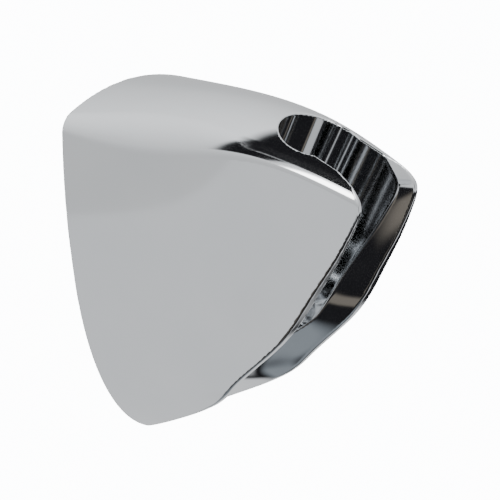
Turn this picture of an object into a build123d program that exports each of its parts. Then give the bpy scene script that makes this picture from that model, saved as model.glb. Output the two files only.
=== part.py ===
from build123d import *
import math
import os

# Wall-mounted holder with a leaning socket. Millimetres, +Z up, the wall is the plane Y = 0 and
# the front points along -Y. The origin is the centre of the wall plate's back face.

# Outer form: outlines parallel to the wall, each (depth, top middle, top corner, corner half-width,
# widest height, widest half-width, foot height, foot half-width, lowest, corner radius).
WALL_OUTLINE = (0, 53.3, 47.0, 30.0, 4.0, 33.9, -41.0, 23.5, -55.0, 3.5)
REAR_OUTLINE = (33, 50.6, 43.6, 25.0, 4.0, 27.6, -41.0, 20.0, -54.0, 7.0)
FRONT_OUTLINE = (66, 43.2, 37.6, 19.6, 2.0, 20.2, -42.0, 13.0, -52.0, 3.5)
TIP_OUTLINE = (99, 26.5, 24.4, 13.6, -4.0, 14.0, -43.0, 8.5, -50.0, 4.0)
OUTLINES = (WALL_OUTLINE, REAR_OUTLINE, FRONT_OUTLINE, TIP_OUTLINE)

# Front edge of the side view, from the tip's top to the foot, as (depth, height).
FRONT_EDGE = ((97.5, 21.5), (95.0, 15.0), (87.6, 4.5), (78.9, -6.0), (64.7, -21.5), (45.4, -35.6),
              (35.0, -42.8), (17.5, -49.3), (0, -55.0))
TIP_TOP = (95.0, 26.5)

WALL = 2.8               # thickness of the hollow moulding
MIN_FOOT_WIDTH = 3.0     # of an inset outline
MIN_CORNER_R = 0.8
EDGE_LIFT = 0.4          # how far up the front edge moves for each millimetre that it moves back
SOCKET_R = 12.3          # at the rim
SOCKET_END_R = 10.9      # at its lower end
SOCKET_LEAN = 34.5       # degrees that the axis leans forward
SOCKET_LENGTH = 73.0
SOCKET_DEPTH = 74.1      # depth and height of the rim's centre
SOCKET_HEIGHT = 37.2
SLOT_HALF_WIDTH = 10.5
SLOT_SILL_CENTRE = -19.8  # height where the slot's rounded lower end starts

# Groove down the front: (height, half-width and depth at the front edge)
GROOVE = ((34.0, 12.0, 10.0), (24.0, 12.3, 15.0), (8.0, 12.9, 21.0), (-22.0, 15.6, 16.5),
          (-36.0, 16.4, 10.5), (-45.0, 14.0, 7.0), (-50.0, 10.2, 4.5), (-53.2, 6.0, 2.0))
GROOVE_FLARE = 3.0       # how far in front of the edge its ellipses are centred, as a share of its depth

# Wall plate, with two holes for wall screws and a lug that the set screw bears on
PLATE_THICKNESS = 3.0
PLATE_WIDTH = 34.0
PLATE_TOP = 34.0
PLATE_FOOT = -40.0
PLATE_CORNER_R = 8.0
SCREW_HOLE_R = 2.4
SCREW_SPACING = 50.0
LUG_WIDTH = 12.0
LUG_LENGTH = 11.0
LUG_FOOT = -37.0
LUG_HEIGHT = 7.0

# Post that carries the holder, the screw that holds it, and the tube it enters
POST_HEIGHT = 12.0
POST_R = 6.0
POST_LENGTH = 18.0
POST_CHAMFER = 1.0
POST_CLEARANCE = 0.06
POST_SCREW_R = 2.0
POST_SCREW_HEAD_R = 3.8
POST_SCREW_HEAD = 2.2
POST_SCREW_LENGTH = 11.0
HEAD_GAP = 0.05          # between the screw's head and its seat
RECEIVER_R = 9.0
RECEIVER_MOUTH = 4.0     # its open end, in front of the wall
RECEIVER_END = 46.0      # it merges with the socket's wall before this
BORE_END_GAP = 2.0       # between the post's end and the end of its bore

# Set screw in the foot and the insert that it turns in
SET_SCREW_DEPTH = 9.0    # its axis, in front of the wall
SET_SCREW_R = 2.5
SET_SCREW_LENGTH = 10.0
SET_SCREW_CHAMFER = 0.8
SCREW_HOLE_GAP = 0.3     # round the set screw, below the insert
THREAD_CLEARANCE = 0.05
TIP_GAP = 0.05           # between the screw's tip and the lug
HEX_KEY = 2.5
HEX_DEPTH = 3.0
INSERT_R = 3.5
INSERT_LENGTH = 7.0
INSERT_TOP = -40.0
FOOT_BOSS_R = 5.5
FOOT_BOSS_LENGTH = 20.0

# Gasket in a recess behind the rim
LIP = 1.2                # outer lip that hides the gasket
RECESS_PAST_WALL = 1.0   # how far the recess runs past the inside of the moulding
GASKET_THICKNESS = 1.0
GASKET_GAP = 0.05

# Sizes of the cutting solids
CUT_MARGIN = 30.0        # how far a cut runs past what it cuts
PLATE_CUT_MARGIN = 1.0   # the same for the holes in the wall plate
SLOT_TOP = 80.0          # above everything
FAR = 130.0              # beyond everything


def outline(row, inset=0.0):
    """One closed outline parallel to the wall, shrunk by inset."""
    depth, top, corner, corner_w, mid, mid_w, foot, foot_w, low, radius = row
    top, corner, low = top - inset, corner - inset, low + inset
    corner_w, mid_w, foot_w = corner_w - inset, mid_w - inset, max(foot_w - inset, MIN_FOOT_WIDTH)
    with BuildSketch(Plane.XZ.offset(depth)) as sketch:
        with BuildLine():
            ThreePointArc((-corner_w, corner), (0, top), (corner_w, corner))
            Spline((corner_w, corner), (mid_w, mid), (foot_w, foot), (0, low),
                   (-foot_w, foot), (-mid_w, mid), (-corner_w, corner))
        make_face()
        fillet(sketch.vertices(), max(radius - inset, MIN_CORNER_R))
    return sketch.sketch


def side_view(inset=0.0):
    """The side view as a slab across the whole width: it cuts the front edge and the foot."""
    points = [(-d + inset, z + inset * EDGE_LIFT) for d, z in FRONT_EDGE]
    tip = (-TIP_TOP[0] + inset, TIP_TOP[1])
    with BuildSketch(Plane.YZ) as sketch:
        with BuildLine():
            Line((CUT_MARGIN, SLOT_TOP), (tip[0], SLOT_TOP))
            Line((tip[0], SLOT_TOP), tip)
            Spline(tip, *points[:2])
            Spline(points[1:])
            Line(points[-1], (CUT_MARGIN, points[-1][1]))
            Line((CUT_MARGIN, points[-1][1]), (CUT_MARGIN, SLOT_TOP))
        make_face()
    return extrude(sketch.sketch, amount=FAR / 2, both=True)


def outer_form(inset=0.0):
    """The solid form, or with an inset the inside of the hollow moulding."""
    faces = [outline(row, inset) for row in OUTLINES]
    return loft(faces) & side_view(inset)


def socket(grow=0.0):
    """The tapered socket, from above the rim down its leaning axis."""
    lean = math.radians(SOCKET_LEAN)
    down = Vector(0, math.sin(lean), -math.cos(lean))
    rim = Vector(0, -SOCKET_DEPTH, SOCKET_HEIGHT)
    taper = (SOCKET_R - SOCKET_END_R) / SOCKET_LENGTH
    length = SOCKET_LENGTH + CUT_MARGIN + grow
    plane = Plane(origin=rim - down * CUT_MARGIN, x_dir=(1, 0, 0), z_dir=down)
    top_r = SOCKET_R + taper * CUT_MARGIN + grow
    return Solid.make_cone(top_r, SOCKET_END_R + grow, length, plane=plane)


def slot(grow=0.0):
    """The slot from the socket's axis to the front, rounded at its lower end."""
    half = SLOT_HALF_WIDTH + grow
    with BuildSketch(Plane.XZ) as sketch:
        with BuildLine():
            Line((-half, SLOT_TOP), (half, SLOT_TOP))
            Line((half, SLOT_TOP), (half, SLOT_SILL_CENTRE))
            ThreePointArc((half, SLOT_SILL_CENTRE), (0, SLOT_SILL_CENTRE - half),
                          (-half, SLOT_SILL_CENTRE))
            Line((-half, SLOT_SILL_CENTRE), (-half, SLOT_TOP))
        make_face()
    across = extrude(sketch.sketch, amount=FAR)
    slope = math.tan(math.radians(SOCKET_LEAN))
    axis_low = -(SOCKET_DEPTH + (-FAR - SOCKET_HEIGHT) * slope)
    axis_high = -(SOCKET_DEPTH + (FAR - SOCKET_HEIGHT) * slope)
    with BuildSketch(Plane.YZ) as front:
        with BuildLine():
            Polyline((axis_low, -FAR), (axis_high, FAR), (-2 * FAR, FAR), (-2 * FAR, -FAR), close=True)
        make_face()
    return across & extrude(front.sketch, amount=FAR / 2, both=True)


def front_depth(height):
    """Depth of the front edge at a height, read between its points."""
    rows = sorted((z, d) for d, z in FRONT_EDGE)
    for (z0, d0), (z1, d1) in zip(rows, rows[1:]):
        if z0 <= height <= z1:
            return d0 + (d1 - d0) * (height - z0) / (z1 - z0)
    return rows[-1][1]


def groove(grow=0.0):
    """The hollow front: ends of long ellipses in level planes, centred well in front of the front edge."""
    rings = []
    for height, half_width, depth in GROOVE:
        forward = GROOVE_FLARE * depth
        widest = half_width / math.sqrt(1 - (forward / (depth + forward)) ** 2)
        centre = (0, -front_depth(height) - forward, height)
        ring = Ellipse(widest + grow, depth + forward + grow)
        rings.append(Plane(origin=centre, x_dir=(1, 0, 0), z_dir=(0, 0, 1)) * ring)
    return loft(rings)


def channel(grow=0.0):
    """Everything that opens the front."""
    return [socket(grow), slot(grow), groove(grow)]


def rod(radius, length, start, along):
    """A cylinder from start in one of the directions (x, y, z)."""
    plane = Plane(origin=start, z_dir=along)
    return Solid.make_cylinder(radius, length, plane)


def largest(shape):
    return max(shape.solids(), key=lambda solid: solid.volume)


def rim_ring(inner, outer, thickness):
    """A ring against the wall between two insets of the wall outline."""
    ring = outline(WALL_OUTLINE, outer) - outline(WALL_OUTLINE, inner)
    return extrude(ring, amount=thickness)


def holder_body():
    shell = outer_form()
    hollow = outer_form(WALL)
    for cut in channel(WALL):
        hollow -= cut
    hollow = largest(hollow)
    body = shell - hollow
    for cut in channel():
        body -= cut
    # the tube that the post enters, and the boss in the foot for the insert
    mouth = (0, -RECEIVER_MOUTH, POST_HEIGHT)
    receiver = rod(RECEIVER_R, RECEIVER_END - RECEIVER_MOUTH, mouth, (0, -1, 0))
    boss_foot = (0, -SET_SCREW_DEPTH, INSERT_TOP - FOOT_BOSS_LENGTH)
    boss = rod(FOOT_BOSS_R, FOOT_BOSS_LENGTH, boss_foot, (0, 0, 1))
    inside = outer_form(WALL / 2)
    added = (receiver + boss) & inside
    for cut in channel(WALL / 2):
        added -= cut
    body += added
    bore_length = PLATE_THICKNESS + POST_LENGTH + BORE_END_GAP
    body -= rod(POST_R + POST_CLEARANCE, bore_length, (0, 0, POST_HEIGHT), (0, -1, 0))
    screw_hole_foot = (0, -SET_SCREW_DEPTH, INSERT_TOP - CUT_MARGIN)
    body -= rod(SET_SCREW_R + SCREW_HOLE_GAP, CUT_MARGIN, screw_hole_foot, (0, 0, 1))
    body -= rod(INSERT_R, INSERT_LENGTH, (0, -SET_SCREW_DEPTH, INSERT_TOP - INSERT_LENGTH), (0, 0, 1))
    body -= rim_ring(WALL + RECESS_PAST_WALL, LIP, GASKET_THICKNESS + GASKET_GAP)
    return largest(body)


def wall_gasket():
    return rim_ring(WALL - GASKET_GAP, LIP + GASKET_GAP, GASKET_THICKNESS)


def wall_plate():
    height = PLATE_TOP - PLATE_FOOT
    centre = (PLATE_TOP + PLATE_FOOT) / 2
    face = Plane.XZ * Pos(0, centre) * RectangleRounded(PLATE_WIDTH, height, PLATE_CORNER_R)
    plate = extrude(face, amount=PLATE_THICKNESS)
    lug_centre = LUG_FOOT + LUG_HEIGHT / 2
    lug = extrude(Plane.XZ * Pos(0, lug_centre) * Rectangle(LUG_WIDTH, LUG_HEIGHT),
                  amount=PLATE_THICKNESS + LUG_LENGTH)
    plate += lug
    through = PLATE_THICKNESS + 2 * PLATE_CUT_MARGIN
    for side in (-1, 1):
        screw_height = side * SCREW_SPACING / 2
        plate -= rod(SCREW_HOLE_R, through, (0, PLATE_CUT_MARGIN, screw_height), (0, -1, 0))
    plate -= rod(POST_SCREW_R, through, (0, PLATE_CUT_MARGIN, POST_HEIGHT), (0, -1, 0))
    plate -= countersink(HEAD_GAP)
    return plate


def countersink(grow):
    """The post screw's conical head, or with grow its seat in the plate."""
    plane = Plane(origin=(0, 0, POST_HEIGHT), x_dir=(1, 0, 0), z_dir=(0, -1, 0))
    return Solid.make_cone(POST_SCREW_HEAD_R + grow, POST_SCREW_R + grow, POST_SCREW_HEAD, plane)


def locating_post():
    post = rod(POST_R, POST_LENGTH, (0, -PLATE_THICKNESS, POST_HEIGHT), (0, -1, 0))
    post = chamfer(post.edges().sort_by(Axis.Y)[0], POST_CHAMFER)
    return post - rod(POST_SCREW_R, POST_SCREW_LENGTH, (0, -PLATE_THICKNESS, POST_HEIGHT), (0, -1, 0))


def post_screw():
    return countersink(0) + rod(POST_SCREW_R, POST_SCREW_LENGTH, (0, 0, POST_HEIGHT), (0, -1, 0))


def threaded_insert():
    at = (0, -SET_SCREW_DEPTH, INSERT_TOP - INSERT_LENGTH)
    insert = rod(INSERT_R, INSERT_LENGTH, at, (0, 0, 1))
    return insert - rod(SET_SCREW_R + THREAD_CLEARANCE, INSERT_LENGTH, at, (0, 0, 1))


def set_screw():
    foot = LUG_FOOT - TIP_GAP - SET_SCREW_LENGTH
    screw = rod(SET_SCREW_R, SET_SCREW_LENGTH, (0, -SET_SCREW_DEPTH, foot), (0, 0, 1))
    screw = chamfer(screw.edges().sort_by(Axis.Z)[-1], SET_SCREW_CHAMFER)
    hexagon = RegularPolygon(HEX_KEY / 2, 6, major_radius=False)
    key_hole = Plane(origin=(0, -SET_SCREW_DEPTH, foot), z_dir=(0, 0, 1)) * hexagon
    return screw - extrude(key_hole, amount=HEX_DEPTH)


os.makedirs("parts", exist_ok=True)
NODES = {
    "holder_body": holder_body,
    "wall_gasket": wall_gasket,
    "wall_plate": wall_plate,
    "locating_post": locating_post,
    "post_screw": post_screw,
    "threaded_insert": threaded_insert,
    "set_screw": set_screw,
}
for name, make in NODES.items():
    export_step(make(), f"parts/{name}.step")
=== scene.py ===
import math
import bpy
import numpy as np
from mathutils import Matrix, Quaternion, Vector


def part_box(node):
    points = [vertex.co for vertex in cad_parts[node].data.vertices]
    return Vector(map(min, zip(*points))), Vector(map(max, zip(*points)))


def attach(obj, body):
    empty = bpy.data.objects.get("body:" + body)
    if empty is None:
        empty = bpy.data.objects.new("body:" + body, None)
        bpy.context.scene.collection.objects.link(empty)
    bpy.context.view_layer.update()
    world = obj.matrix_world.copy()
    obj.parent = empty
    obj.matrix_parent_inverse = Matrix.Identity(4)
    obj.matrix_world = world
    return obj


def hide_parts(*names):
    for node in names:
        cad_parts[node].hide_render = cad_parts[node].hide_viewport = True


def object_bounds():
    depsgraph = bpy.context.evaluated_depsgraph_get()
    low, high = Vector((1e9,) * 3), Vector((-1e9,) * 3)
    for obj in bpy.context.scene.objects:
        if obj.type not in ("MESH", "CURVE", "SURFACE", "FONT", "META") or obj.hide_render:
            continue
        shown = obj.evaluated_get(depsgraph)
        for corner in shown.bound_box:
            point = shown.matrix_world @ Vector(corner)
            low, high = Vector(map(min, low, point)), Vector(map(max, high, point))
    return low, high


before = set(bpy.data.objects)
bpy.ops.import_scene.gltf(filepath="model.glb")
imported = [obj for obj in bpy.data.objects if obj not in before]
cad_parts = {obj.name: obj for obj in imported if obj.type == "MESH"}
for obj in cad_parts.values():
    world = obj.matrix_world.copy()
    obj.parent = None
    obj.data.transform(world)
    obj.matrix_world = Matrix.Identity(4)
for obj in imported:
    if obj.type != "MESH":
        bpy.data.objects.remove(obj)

CAD_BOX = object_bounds()

# The holder's form, in millimetres: depth is the distance out of the wall, height is along +Z.
MM = 0.001
OUTLINE_DEPTHS = (0, 33, 66, 99)
TOP_MIDDLE = (53.3, 50.6, 43.2, 26.5)
TOP_CORNER = (47.0, 43.6, 37.6, 24.4)
CORNER_WIDTH = (30.0, 25.0, 19.6, 13.6)
WIDEST_HEIGHT = (4.0, 4.0, 2.0, -4.0)
WIDEST = (33.9, 27.6, 20.2, 14.0)
LOWEST = (-56.4, -55.0, -52.5, -50.0)       # lower than the CAD's, so the front edge alone ends the foot
CORNER_RADIUS = (3.5, 7.0, 3.5, 4.0)
SHIELD_POWER = 2.3
FRONT_HEIGHTS = (-55.0, -49.3, -42.8, -35.6, -21.5, -6.0, 4.5, 15.0, 21.5, 26.5)
FRONT_DEPTHS = (0.0, 17.5, 35.0, 45.4, 64.7, 78.9, 87.6, 95.0, 97.5, 95.0)
WALL = 2.8
SOCKET_R, SOCKET_END_R, SOCKET_LENGTH, SOCKET_END_ROUNDING = 12.3, 10.9, 73.0, 1.5
SOCKET_LEAN = math.radians(34.5)
SOCKET_DEPTH, SOCKET_HEIGHT = 74.1, 37.2
SLOT_HALF_WIDTH, SLOT_SILL = 10.5, -19.8
GROOVE_HEIGHTS = (-53.2, -50.0, -45.0, -36.0, -22.0, 8.0, 24.0, 34.0)
GROOVE_WIDTHS = (6.0, 10.2, 14.0, 16.4, 15.6, 12.9, 12.3, 12.0)
GROOVE_DEPTHS = (2.0, 4.5, 7.0, 10.5, 16.5, 21.0, 15.0, 10.0)
GROOVE_FLARE = 3.0
MIN_GROOVE_WIDTH, MIN_GROOVE_DEPTH, MIN_STEEPNESS = 2.0, 0.4, 1e-6
POST_HEIGHT, POST_BORE_R, POST_BORE_LENGTH = 12.0, 6.06, 23.0
RECEIVER_R, RECEIVER_MOUTH, RECEIVER_END = 9.0, 4.0, 46.0
SET_SCREW_DEPTH, SET_SCREW_HOLE_R = 9.0, 2.8
BOSS_R, BOSS_LENGTH = 5.5, 20.0
INSERT_R, INSERT_TOP, INSERT_LENGTH = 3.5, -40.0, 7.0
SCREW_HOLE_LENGTH = 40.0
CUT_MARGIN = 5.0                # how far a cut runs past what it cuts
LIP, GASKET_RECESS = 1.2, 1.05

# Roundings: outer edges, where socket and groove meet, and the hollow, bores and back rim
EDGE_R, CREASE_R, INNER_R = 0.55, 0.3, 0.35

# How finely the field is sampled, in millimetres unless it says otherwise
CELL = 0.5
GRID_MARGIN = 1.5               # in cells, round the holder's box
SETTLE_STEPS = 4                # moves of each vertex towards the surface
SETTLE_REACH = 0.75             # in cells, how far a vertex may move
MIN_SLOPE_SQUARED = 0.1
FRONT_STEP = 0.5                # for the slope of the front edge
SETTLE_STEP, NORMAL_STEP = 0.01, 0.05       # for the slope of the field
MIN_SLOPE = 1e-9

# Materials: where the noise is cut off, so that its middle fills the whole range
NOISE_LOW, NOISE_HIGH = 0.3, 0.7
TINT_LOW, TINT_HIGH = 0.35, 0.65
ROUGHNESS_SPREAD = 0.15
GRAIN_DEPTH = 0.0001            # metres

# Studio, in metres. Brightness of the dome from straight down (0) to straight up (1).
DOME = ((0.0, 0.85), (0.2, 0.78), (0.42, 0.74), (0.55, 0.74), (0.75, 1.25), (1.0, 1.5))
DOME_COLOUR = (0.96, 0.98, 1.0, 1)
FLOOR_COLOUR = (0.955, 0.975, 1.0, 1)
FLOOR_SIZE = 8
FLOOR_DROP = 0.40               # below the holder
FLOOR_GLOW = 0.86               # its strength in reflections and as light
BACKDROP = 14.0                 # strength of dome and floor as the camera sees them
KEY_PLACE, KEY_SIZE, KEY_POWER = (-0.5, -0.5, 1.4), 1.2, 10

# Paints of the cards: colour, strength, and the share of the width that fades out at each edge
CARD_PAINTS = {
    "dark": ((0.012, 0.012, 0.014), 1.0, 0.12),
    "grey": ((0.16, 0.16, 0.165), 1.0, 0.4),
    "brown": ((0.20, 0.18, 0.155), 1.0, 0.3),
    "blue": ((0.27, 0.30, 0.33), 1.0, 0.3),
    "pale": ((0.72, 0.73, 0.75), 1.0, 0.3),
    "white": ((1.0, 1.0, 1.0), 9.0, 0.25),
}
# Cards: name, paint, centre, what it faces, width, height, turn in its own plane in degrees
CARDS = (
    ("camera_card", "grey", (-0.30, -0.70, -0.16), "holder", 0.5, 0.5, 0),
    ("under_card", "dark", (0.02, -0.22, -0.36), "up", 1.24, 0.66, 0),
    ("left_card", "dark", (-0.48, -0.06, -0.30), "holder", 0.34, 0.36, 0),
    ("brown_strip", "brown", (-0.20, -0.10, -0.34), "up", 0.07, 0.5, 0),
    ("near_strip", "brown", (-0.42, -0.02, -0.24), "holder", 0.10, 0.30, 0),
    ("foot_strip", "blue", (0.04, 0.02, -0.34), "up", 0.22, 0.30, 0),
    ("pale_strip", "pale", (0.27, -0.16, -0.34), "up", 0.24, 0.42, 0),
    ("overhead_card", "dark", (-0.45, 0.055, 0.50), "down", 1.0, 0.22, 18),
    ("rim_card", "dark", (-0.06, -0.11, 0.50), "down", 0.72, 0.38, 0),
    ("overhead_light", "white", (-0.78, -0.09, 0.48), "down", 0.9, 0.20, 18),
)

# Camera: angles in degrees, distances in metres, lens and sensor in millimetres
AZIMUTH, ELEVATION, ROLL = -48, 13, 7
CAMERA_TARGET = (0, -0.0419, 0.0018)
CAMERA_DISTANCE = 0.9
LENS, SENSOR = 216, 36.0
CLIP_NEAR, CLIP_FAR = 0.01, 20


def curve(x, xs, ys):
    """A smooth natural spline through a few points, straight beyond its ends."""
    xs, ys = np.asarray(xs, float), np.asarray(ys, float)
    h = np.diff(xs)
    n = len(xs)
    a = np.eye(n)
    b = np.zeros(n)
    for i in range(1, n - 1):
        a[i, i - 1:i + 2] = h[i - 1], 2 * (h[i - 1] + h[i]), h[i]
        b[i] = 6 * ((ys[i + 1] - ys[i]) / h[i] - (ys[i] - ys[i - 1]) / h[i - 1])
    m = np.linalg.solve(a, b)
    t = np.clip(x, xs[0], xs[-1])
    i = np.clip(np.searchsorted(xs, t, side="right") - 1, 0, n - 2)
    u, v = xs[i + 1] - t, t - xs[i]
    y = (m[i] * u**3 + m[i + 1] * v**3) / (6 * h[i])
    y += (ys[i] / h[i] - m[i] * h[i] / 6) * u + (ys[i + 1] / h[i] - m[i + 1] * h[i] / 6) * v
    first = (ys[1] - ys[0]) / h[0] - h[0] * m[1] / 6
    last = (ys[-1] - ys[-2]) / h[-1] + h[-1] * m[-2] / 6
    return y + np.where(x < xs[0], (x - xs[0]) * first, 0) + np.where(x > xs[-1], (x - xs[-1]) * last, 0)


def both(a, b, radius):
    """Where two solids overlap, with the edge between them rounded."""
    outside = np.hypot(np.maximum(a + radius, 0), np.maximum(b + radius, 0))
    return np.minimum(np.maximum(a, b), -radius) + outside


def either(a, b, radius):
    """Where at least one solid is, with the crease between them rounded."""
    return -both(-a, -b, radius)


def tube(across_1, across_2, along, radius, start, end):
    """A rod along one axis, from start to end."""
    return np.maximum(np.hypot(across_1, across_2) - radius, np.maximum(start - along, along - end))


def outer_field(x, d, z):
    """Negative inside the holder's outer form, and close to a distance near it."""
    top, corner = curve(d, OUTLINE_DEPTHS, TOP_MIDDLE), curve(d, OUTLINE_DEPTHS, TOP_CORNER)
    corner_w, widest = curve(d, OUTLINE_DEPTHS, CORNER_WIDTH), curve(d, OUTLINE_DEPTHS, WIDEST)
    mid, low = curve(d, OUTLINE_DEPTHS, WIDEST_HEIGHT), curve(d, OUTLINE_DEPTHS, LOWEST)
    radius = np.maximum(curve(d, OUTLINE_DEPTHS, CORNER_RADIUS), EDGE_R)
    drop = np.maximum(mid - z, 0) / (mid - low)
    shield = widest * (((np.abs(x) / widest)**SHIELD_POWER + drop**SHIELD_POWER)**(1 / SHIELD_POWER) - 1)
    upper = np.abs(x) - widest + (widest - corner_w) * (np.maximum(z - mid, 0) / (corner - mid))**2
    side = np.where(z < mid, shield, upper)
    lid = z - corner - (top - corner) * (1 - (x / corner_w)**2)
    outline = both(side, lid, radius)
    edge = curve(z, FRONT_HEIGHTS, FRONT_DEPTHS)
    slope = (curve(z + FRONT_STEP, FRONT_HEIGHTS, FRONT_DEPTHS) - edge) / FRONT_STEP
    front = (d - edge) / np.sqrt(1 + slope**2)
    return both(outline, front, EDGE_R)


def socket_field(x, d, z):
    """Negative inside the tapered socket and the slot that opens it to the front."""
    along = (d - SOCKET_DEPTH) * -math.sin(SOCKET_LEAN) - (z - SOCKET_HEIGHT) * math.cos(SOCKET_LEAN)
    forward = (d - SOCKET_DEPTH) * math.cos(SOCKET_LEAN) - (z - SOCKET_HEIGHT) * math.sin(SOCKET_LEAN)
    radius = SOCKET_R - (SOCKET_R - SOCKET_END_R) * along / SOCKET_LENGTH
    cone = both(np.hypot(x, forward) - radius, along - SOCKET_LENGTH, SOCKET_END_ROUNDING)
    below = np.minimum(z - SLOT_SILL, 0)
    slot = np.maximum(np.hypot(x, below) - SLOT_HALF_WIDTH, -forward)
    return np.minimum(cone, slot)


def groove_field(x, d, z):
    """Negative inside the groove: level ellipses, centred well in front of the front edge."""
    width = np.maximum(curve(z, GROOVE_HEIGHTS, GROOVE_WIDTHS), MIN_GROOVE_WIDTH)
    depth = np.maximum(curve(z, GROOVE_HEIGHTS, GROOVE_DEPTHS), MIN_GROOVE_DEPTH)
    forward = GROOVE_FLARE * depth
    b = depth + forward
    a = width / np.sqrt(1 - (forward / b)**2)
    back = d - curve(z, FRONT_HEIGHTS, FRONT_DEPTHS) - forward
    reach = np.hypot(x / a, back / b)
    steep = np.maximum(np.hypot(x / a**2, back / b**2), MIN_STEEPNESS)
    return np.maximum(reach * (reach - 1) / steep, GROOVE_HEIGHTS[0] - z)


def holder_field(p):
    """Negative inside the moulding. Points are in millimetres."""
    x, d, z = p[..., 0], -p[..., 1], p[..., 2]
    outer = outer_field(x, d, z)
    channel = either(socket_field(x, d, z), groove_field(x, d, z), CREASE_R)
    hollow = np.maximum(outer + WALL, WALL - channel)
    body = both(both(outer, -channel, EDGE_R), -hollow, INNER_R)
    middle = np.maximum(outer, -channel) + WALL / 2
    receiver = tube(x, z - POST_HEIGHT, d, RECEIVER_R, RECEIVER_MOUTH, RECEIVER_END)
    boss = tube(x, d - SET_SCREW_DEPTH, z, BOSS_R, INSERT_TOP - BOSS_LENGTH, INSERT_TOP)
    body = np.minimum(body, np.maximum(np.minimum(receiver, boss), middle))
    bore = tube(x, z - POST_HEIGHT, d, POST_BORE_R, -CUT_MARGIN, POST_BORE_LENGTH)
    top = INSERT_TOP + CUT_MARGIN
    hole = tube(x, d - SET_SCREW_DEPTH, z, SET_SCREW_HOLE_R, INSERT_TOP - SCREW_HOLE_LENGTH, top)
    seat = tube(x, d - SET_SCREW_DEPTH, z, INSERT_R, INSERT_TOP - INSERT_LENGTH, top)
    recess = np.maximum(outer + LIP, d - GASKET_RECESS)
    for cut in (bore, hole, seat, recess):
        body = both(body, -cut, INNER_R)
    return both(body, -d, INNER_R)


def field_slope(p, step):
    slope = np.empty_like(p)
    for axis in range(3):
        shift = np.zeros(3)
        shift[axis] = step
        slope[:, axis] = (holder_field(p + shift) - holder_field(p - shift)) / (2 * step)
    return slope


def surface(low, high, cell):
    """Vertices and quads of the field's zero surface: one vertex in each crossed cell, moved on to it."""
    margin = GRID_MARGIN * cell
    axes = [np.arange(a - margin, b + margin, cell) for a, b in zip(low, high)]
    grid = np.stack(np.meshgrid(*axes, indexing="ij"), axis=-1)
    value = np.concatenate([holder_field(slab)[None] for slab in grid])
    inside = value < 0
    shape = np.array(value.shape) - 1
    total, count = np.zeros((*shape, 3)), np.zeros(shape)
    corners = [(i, j, k) for i in (0, 1) for j in (0, 1) for k in (0, 1)]

    def part(array, corner):
        return array[tuple(slice(c, c + n) for c, n in zip(corner, shape))]

    for a in corners:
        for axis in range(3):
            if a[axis]:
                continue
            b = tuple(1 if i == axis else c for i, c in enumerate(a))
            va, vb = part(value, a), part(value, b)
            cross = (va < 0) != (vb < 0)
            share = np.where(cross, va / np.where(cross, va - vb, 1), 0)
            at = np.array(a, float)[None, None, None] + share[..., None] * np.eye(3)[axis]
            total += np.where(cross[..., None], at, 0)
            count += cross
    used = count > 0
    number = np.full(shape, -1)
    number[used] = np.arange(used.sum())
    cells = np.argwhere(used)
    start = np.array([a[0] for a in axes])
    points = start + (cells + total[used] / count[used][:, None]) * cell
    home = points.copy()
    reach = SETTLE_REACH * cell
    for _ in range(SETTLE_STEPS):
        slope = field_slope(points, SETTLE_STEP)
        size = np.maximum((slope**2).sum(1), MIN_SLOPE_SQUARED)
        points -= slope * (holder_field(points) / size)[:, None]
        points = home + np.clip(points - home, -reach, reach)
    quads = []
    for axis in range(3):
        u, v = (axis + 1) % 3, (axis + 2) % 3
        one = [slice(1, -1)] * 3
        one[axis] = slice(0, -1)
        two = list(one)
        two[axis] = slice(1, None)
        a, b = inside[tuple(one)], inside[tuple(two)]
        for flip, where in ((False, a & ~b), (True, ~a & b)):
            at = np.argwhere(where)
            offset = np.ones(3, int)
            offset[axis] = 0
            at = at + offset
            ring = []
            for du, dv in ((1, 1), (0, 1), (0, 0), (1, 0)):
                cell_at = at.copy()
                cell_at[:, u] -= du
                cell_at[:, v] -= dv
                ring.append(number[tuple(cell_at.T)])
            quad = np.stack(ring, axis=1)
            quads.append(quad[:, ::-1] if flip else quad)
    return points, np.concatenate(quads)


def make_holder():
    """The moulding as one mesh, kept inside the CAD body's box."""
    low, high = (np.array(c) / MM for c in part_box("holder_body"))
    points, quads = surface(low, high, CELL)
    slope = field_slope(points, NORMAL_STEP)
    normals = slope / np.maximum(np.linalg.norm(slope, axis=1), MIN_SLOPE)[:, None]
    points = np.clip(points, low, high)
    mesh = bpy.data.meshes.new("holder_shell")
    mesh.from_pydata((points * MM).tolist(), [], quads.tolist())
    mesh.polygons.foreach_set("use_smooth", np.ones(len(quads), bool))
    mesh.update()
    mesh.normals_split_custom_set_from_vertices(normals.tolist())
    shell = bpy.data.objects.new("holder_shell", mesh)
    bpy.context.collection.objects.link(shell)
    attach(shell, "holder")
    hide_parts("holder_body")
    return shell


def new_material(name, **inputs):
    material = bpy.data.materials.new(name)
    material.use_nodes = True
    shader = material.node_tree.nodes["Principled BSDF"]
    for label, value in inputs.items():
        shader.inputs[label.replace("_", " ")].default_value = value
    return material, material.node_tree, shader


def noise(tree, scale, detail=3.0, stretch=(1, 1, 1)):
    """Noise fixed to the object, in its own coordinates."""
    place = tree.nodes.new("ShaderNodeTexCoord")
    mapping = tree.nodes.new("ShaderNodeMapping")
    mapping.inputs["Scale"].default_value = stretch
    texture = tree.nodes.new("ShaderNodeTexNoise")
    texture.inputs["Scale"].default_value = scale
    texture.inputs["Detail"].default_value = detail
    tree.links.new(place.outputs["Object"], mapping.inputs["Vector"])
    tree.links.new(mapping.outputs["Vector"], texture.inputs["Vector"])
    return texture.outputs["Fac"]


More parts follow.
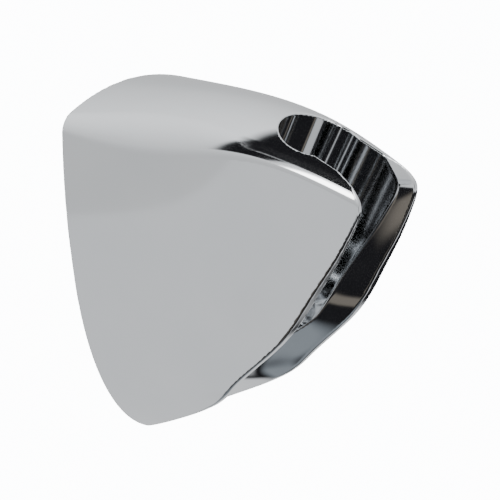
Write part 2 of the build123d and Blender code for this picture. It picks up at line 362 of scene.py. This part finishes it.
def vary(tree, source, low, high, target):
    """The noise spread between two values of a shader input."""
    spread = tree.nodes.new("ShaderNodeMapRange")
    spread.inputs["From Min"].default_value = NOISE_LOW
    spread.inputs["From Max"].default_value = NOISE_HIGH
    spread.inputs["To Min"].default_value = low
    spread.inputs["To Max"].default_value = high
    tree.links.new(source, spread.inputs["Value"])
    tree.links.new(spread.outputs["Result"], target)


def tint(tree, source, dark, light, target):
    """The noise as a blend of two colours."""
    ramp = tree.nodes.new("ShaderNodeValToRGB")
    ramp.color_ramp.elements[0].position = TINT_LOW
    ramp.color_ramp.elements[0].color = (*dark, 1)
    ramp.color_ramp.elements[1].position = TINT_HIGH
    ramp.color_ramp.elements[1].color = (*light, 1)
    tree.links.new(source, ramp.inputs["Fac"])
    tree.links.new(ramp.outputs["Color"], target)


def bump(tree, source, distance, strength, shader):
    node = tree.nodes.new("ShaderNodeBump")
    node.inputs["Distance"].default_value = distance
    node.inputs["Strength"].default_value = strength
    tree.links.new(source, node.inputs["Height"])
    tree.links.new(node.outputs["Normal"], shader.inputs["Normal"])


def chrome():
    """Polished plating with a faint unevenness."""
    material, tree, shader = new_material("polished_chrome", Metallic=1.0)
    shade = noise(tree, scale=35)
    tint(tree, shade, (0.80, 0.815, 0.83), (0.83, 0.84, 0.85), shader.inputs["Base Color"])
    vary(tree, noise(tree, scale=60, detail=5), 0.05, 0.09, shader.inputs["Roughness"])
    bump(tree, noise(tree, scale=45, detail=1), distance=0.0002, strength=0.03, shader=shader)
    return material


def metal(name, dark, light, rough, stretch=(1, 1, 1)):
    """Bare metal with a fine grain. Where stretch is large, the marks lie across that axis."""
    material, tree, shader = new_material(name, Metallic=1.0)
    grain = noise(tree, scale=400, detail=4, stretch=stretch)
    tint(tree, grain, dark, light, shader.inputs["Base Color"])
    vary(tree, grain, rough, rough + ROUGHNESS_SPREAD, shader.inputs["Roughness"])
    bump(tree, grain, GRAIN_DEPTH, strength=0.25, shader=shader)
    return material


def rubber():
    material, tree, shader = new_material("gasket_rubber", Metallic=0.0)
    grain = noise(tree, scale=900, detail=5)
    tint(tree, grain, (0.03, 0.03, 0.032), (0.05, 0.05, 0.053), shader.inputs["Base Color"])
    vary(tree, grain, 0.6, 0.8, shader.inputs["Roughness"])
    bump(tree, grain, GRAIN_DEPTH, strength=0.4, shader=shader)
    return material


def paint(obj, material):
    obj.data.materials.clear()
    obj.data.materials.append(material)


def edge_fade(tree, share):
    """1 in the middle of a panel, falling smoothly to 0 over a share of its width at each edge."""
    place = tree.nodes.new("ShaderNodeTexCoord")
    split = tree.nodes.new("ShaderNodeSeparateXYZ")
    tree.links.new(place.outputs["Generated"], split.inputs["Vector"])
    edges = []
    for side in ("X", "Y"):
        for start, end in ((0, share), (1, 1 - share)):
            ramp = tree.nodes.new("ShaderNodeMapRange")
            ramp.interpolation_type = "SMOOTHSTEP"
            ramp.inputs["From Min"].default_value = start
            ramp.inputs["From Max"].default_value = end
            tree.links.new(split.outputs[side], ramp.inputs["Value"])
            edges.append(ramp.outputs["Result"])
    product = edges[0]
    for edge in edges[1:]:
        times = tree.nodes.new("ShaderNodeMath")
        times.operation = "MULTIPLY"
        tree.links.new(product, times.inputs[0])
        tree.links.new(edge, times.inputs[1])
        product = times.outputs[0]
    return product


def glowing(name, colour):
    """A surface that only glows. Its strength is set by the caller."""
    material, tree, shader = new_material(name, Roughness=1.0, Base_Color=(0, 0, 0, 1))
    shader.inputs["Specular IOR Level"].default_value = 0
    shader.inputs["Emission Color"].default_value = colour
    return material, tree, shader


def card_paint(name, colour, strength, fade):
    material, tree, shader = glowing(name, (*colour, 1))
    shader.inputs["Emission Strength"].default_value = strength
    tree.links.new(edge_fade(tree, fade), shader.inputs["Alpha"])
    return material


def card(name, centre, toward, width, height, material, seen=False, turn=0):
    """A flat panel facing a point, turned in its own plane. Unless seen, it shows only in reflections."""
    mesh = bpy.data.meshes.new(name)
    w, h = width / 2, height / 2
    mesh.from_pydata([(-w, -h, 0), (w, -h, 0), (w, h, 0), (-w, h, 0)], [], [(0, 1, 2, 3)])
    panel = bpy.data.objects.new(name, mesh)
    bpy.context.collection.objects.link(panel)
    panel.location = centre
    aim = Vector(toward) - Vector(centre)
    facing = aim.to_track_quat("Z", "Y") @ Quaternion((0, 0, 1), math.radians(turn))
    panel.rotation_euler = facing.to_euler()
    panel.visible_camera = seen
    panel.visible_shadow = seen
    panel.visible_diffuse = seen
    mesh.materials.append(material)


def area_light(name, centre, toward, size, power):
    data = bpy.data.lights.new(name, "AREA")
    data.size, data.energy = size, power
    lamp = bpy.data.objects.new(name, data)
    bpy.context.collection.objects.link(lamp)
    lamp.location = centre
    lamp.rotation_euler = (Vector(toward) - Vector(centre)).to_track_quat("-Z", "Y").to_euler()


def backdrop(tree, target):
    """Make a strength BACKDROP for the camera's own rays, and the value of the returned input for others."""
    path = tree.nodes.new("ShaderNodeLightPath")
    pick = tree.nodes.new("ShaderNodeMapRange")
    pick.inputs["To Max"].default_value = BACKDROP
    tree.links.new(path.outputs["Is Camera Ray"], pick.inputs["Value"])
    tree.links.new(pick.outputs["Result"], target)
    return pick.inputs["To Min"]


def dome_strength(tree):
    """Brightness of the dome by height in the sky, from the points in DOME."""
    place = tree.nodes.new("ShaderNodeTexCoord")
    split = tree.nodes.new("ShaderNodeSeparateXYZ")
    tree.links.new(place.outputs["Generated"], split.inputs["Vector"])
    height = tree.nodes.new("ShaderNodeMapRange")
    height.inputs["From Min"].default_value = -1
    tree.links.new(split.outputs["Z"], height.inputs["Value"])
    ramp = tree.nodes.new("ShaderNodeFloatCurve")
    tree.links.new(height.outputs["Result"], ramp.inputs["Value"])
    points = ramp.mapping.curves[0].points
    points[0].location, points[1].location = DOME[0], DOME[-1]
    for at in DOME[1:-1]:
        points.new(*at)
    ramp.mapping.update()
    return ramp.outputs["Value"]


def make_dome():
    world = bpy.data.worlds.new("studio")
    bpy.context.scene.world = world
    world.use_nodes = True
    tree = world.node_tree
    background = tree.nodes["Background"]
    background.inputs["Color"].default_value = DOME_COLOUR
    tree.links.new(dome_strength(tree), backdrop(tree, background.inputs["Strength"]))


def make_floor(height):
    material, tree, shader = glowing("studio_floor", FLOOR_COLOUR)
    backdrop(tree, shader.inputs["Emission Strength"]).default_value = FLOOR_GLOW
    card("floor", (0, 0, height), (0, 0, 1), FLOOR_SIZE, FLOOR_SIZE, material, seen=True)


def make_cards(middle):
    """Cards that show only in reflections."""
    paints = {name: card_paint(f"{name}_card", *look) for name, look in CARD_PAINTS.items()}
    for name, paint_name, centre, faces, width, height, turn in CARDS:
        x, y, z = centre
        toward = {"holder": middle, "up": (x, y, z + 1), "down": (x, y, z - 1)}[faces]
        card(name, centre, toward, width, height, paints[paint_name], turn=turn)


def make_camera():
    """A long lens that looks at the target. Positive roll turns the picture anticlockwise."""
    az, el, turn = (math.radians(a) for a in (AZIMUTH, ELEVATION, ROLL))
    ahead = Vector((-math.sin(az) * math.cos(el), math.cos(az) * math.cos(el), -math.sin(el)))
    right = Vector((math.cos(az), math.sin(az), 0))
    up = right.cross(ahead)
    rolled_right = right * math.cos(turn) - up * math.sin(turn)
    rolled_up = up * math.cos(turn) + right * math.sin(turn)
    data = bpy.data.cameras.new("camera")
    data.lens, data.sensor_width = LENS, SENSOR
    data.clip_start, data.clip_end = CLIP_NEAR, CLIP_FAR
    camera = bpy.data.objects.new("camera", data)
    bpy.context.collection.objects.link(camera)
    turned = Matrix((rolled_right, rolled_up, -ahead)).transposed()
    place = Vector(CAMERA_TARGET) - ahead * CAMERA_DISTANCE
    camera.matrix_world = Matrix.Translation(place) @ turned.to_4x4()
    bpy.context.scene.camera = camera


shell = make_holder()
paint(shell, chrome())
FINISHES = {
    "wall_gasket": rubber(),
    "wall_plate": metal("brushed_plate", (0.42, 0.42, 0.43), (0.6, 0.6, 0.61), 0.28, (1, 1, 12)),
    "locating_post": metal("turned_brass", (0.62, 0.45, 0.2), (0.78, 0.6, 0.3), 0.2, (1, 30, 1)),
    "threaded_insert": metal("insert_brass", (0.6, 0.43, 0.19), (0.75, 0.57, 0.28), 0.25, (1, 1, 30)),
    "post_screw": metal("zinc_screw", (0.4, 0.4, 0.42), (0.55, 0.55, 0.57), 0.3),
    "set_screw": metal("black_oxide_screw", (0.07, 0.07, 0.075), (0.13, 0.13, 0.14), 0.35),
}
for node, finish in FINISHES.items():
    paint(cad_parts[node], finish)

low, high = (Vector(corner) for corner in CAD_BOX)
middle = (low + high) / 2
make_dome()
make_floor(low.z - FLOOR_DROP)
area_light("key", KEY_PLACE, middle, KEY_SIZE, KEY_POWER)
make_cards(middle)
make_camera()
